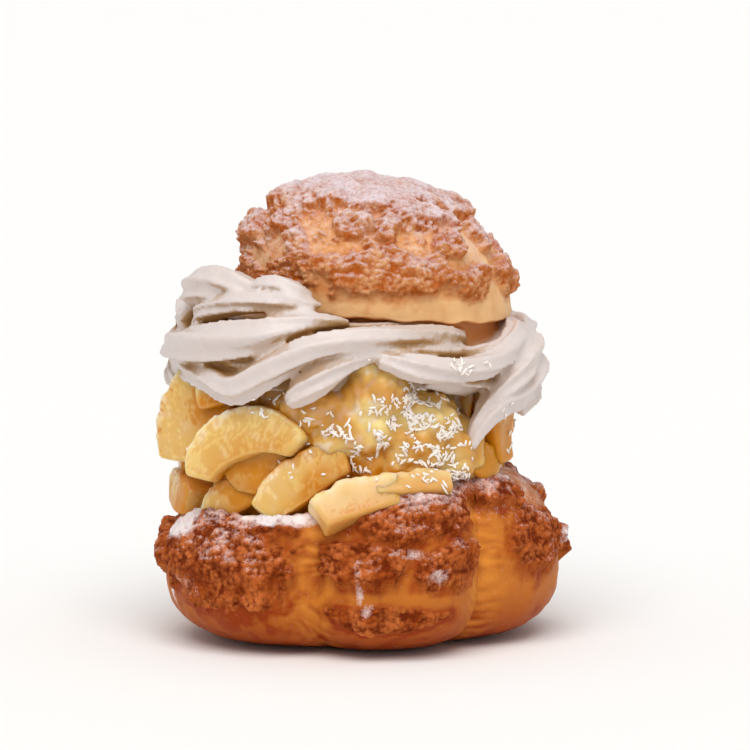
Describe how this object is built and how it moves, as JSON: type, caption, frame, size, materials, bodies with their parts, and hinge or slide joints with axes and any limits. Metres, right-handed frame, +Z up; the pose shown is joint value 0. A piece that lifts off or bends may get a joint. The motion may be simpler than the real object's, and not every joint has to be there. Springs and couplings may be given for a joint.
{
  "type": "fruit cream puff",
  "caption": "Split choux bun with a crackled crust, filled with pineapple pieces, crushed pineapple, coconut shreds and piped whipped cream, resting on a flat underside.",
  "frame": {"origin": "middle of the bun's flat underside, on the surface it rests on", "axes": "+Z up through the bun's crown, -Y towards the front as pictured, +X to the right as seen from the front"},
  "size_m": [0.0755, 0.0746, 0.0837],
  "materials": {
    "choux_base": "baked choux with a brown crackled biscuit crust and a dusting of icing sugar, matte",
    "choux_cap": "baked choux with a golden crackled biscuit crust, heavily dusted with icing sugar, matte",
    "whipped_cream": "piped whipped cream, soft satin",
    "crushed_pineapple": "wet crushed pineapple, translucent",
    "pineapple": "wet pineapple flesh with shreds of white coconut, translucent"
  },
  "bodies": {
    "root": {"choux_base": "choux_base", "choux_cap": "choux_cap", "whipped_cream": "whipped_cream", "crushed_pineapple": "crushed_pineapple", "pineapple_01": "pineapple", "pineapple_02": "pineapple", "pineapple_03": "pineapple", "pineapple_04": "pineapple", "pineapple_05": "pineapple", "pineapple_06": "pineapple", "pineapple_07": "pineapple", "pineapple_08": "pineapple", "pineapple_09": "pineapple", "pineapple_10": "pineapple", "pineapple_11": "pineapple", "pineapple_12": "pineapple", "pineapple_13": "pineapple", "pineapple_14": "pineapple", "pineapple_15": "pineapple", "pineapple_16": "pineapple", "pineapple_17": "pineapple", "pineapple_18": "pineapple", "pineapple_19": "pineapple", "pineapple_20": "pineapple", "pineapple_21": "pineapple", "pineapple_22": "pineapple", "pineapple_23": "pineapple", "pineapple_24": "pineapple"}
  },
  "joints": []
}
